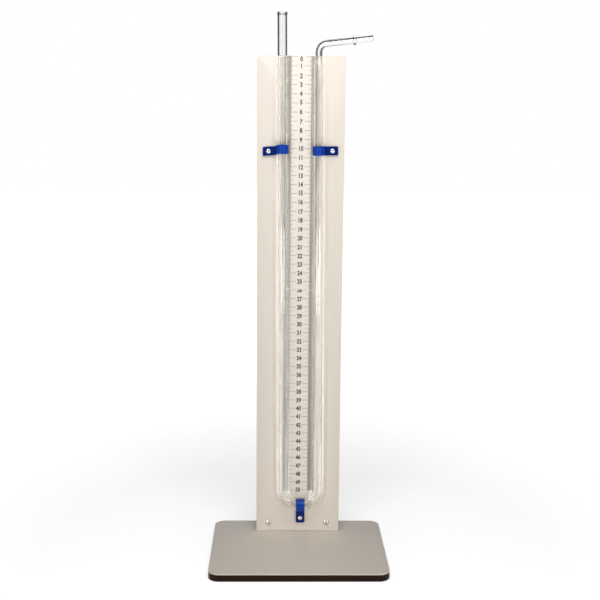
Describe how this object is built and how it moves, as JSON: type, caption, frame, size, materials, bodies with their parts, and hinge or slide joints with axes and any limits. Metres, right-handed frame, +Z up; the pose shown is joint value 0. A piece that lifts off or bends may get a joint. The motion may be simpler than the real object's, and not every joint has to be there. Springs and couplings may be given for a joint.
{
  "type": "u-tube manometer",
  "caption": "Upright glass U-tube manometer with a centimetre scale, clipped to a laminated board on a flat base; one limb is open and the other ends in a side hose nozzle.",
  "frame": {"origin": "centre of the base's underside", "axes": "+Z up, -Y towards the person who reads the scale, +X to that person's right, where the hose nozzle points"},
  "size_m": [0.198, 0.1516, 0.6069],
  "materials": {
    "wood_core": "dark stained edge",
    "laminate": "satin cream laminate",
    "scale_paper": "printed strip, matt",
    "clear_glass": "clear, fire polished",
    "blue_strap": "smooth blue",
    "bright_screw": "nickel plated",
    "zinc_steel": "zinc plated"
  },
  "bodies": {
    "root": {"base_core": "wood_core", "base_top_laminate": "laminate", "upright_front_laminate": "laminate", "upright_core": "wood_core", "scale_strip_upper": "scale_paper", "scale_strip_lower": "scale_paper", "u_tube": "clear_glass", "tube_clip_left": "blue_strap", "tube_clip_right": "blue_strap", "tube_clip_bottom": "blue_strap", "clip_screw_left": "bright_screw", "clip_screw_right": "bright_screw", "clip_screw_bottom": "bright_screw", "board_bolt_left": "bright_screw", "board_bolt_right": "bright_screw", "bolt_nut_left": "zinc_steel", "bolt_nut_right": "zinc_steel", "bracket_left": "zinc_steel", "bracket_right": "zinc_steel", "foot_screw_left": "bright_screw", "foot_screw_right": "bright_screw"}
  },
  "joints": []
}
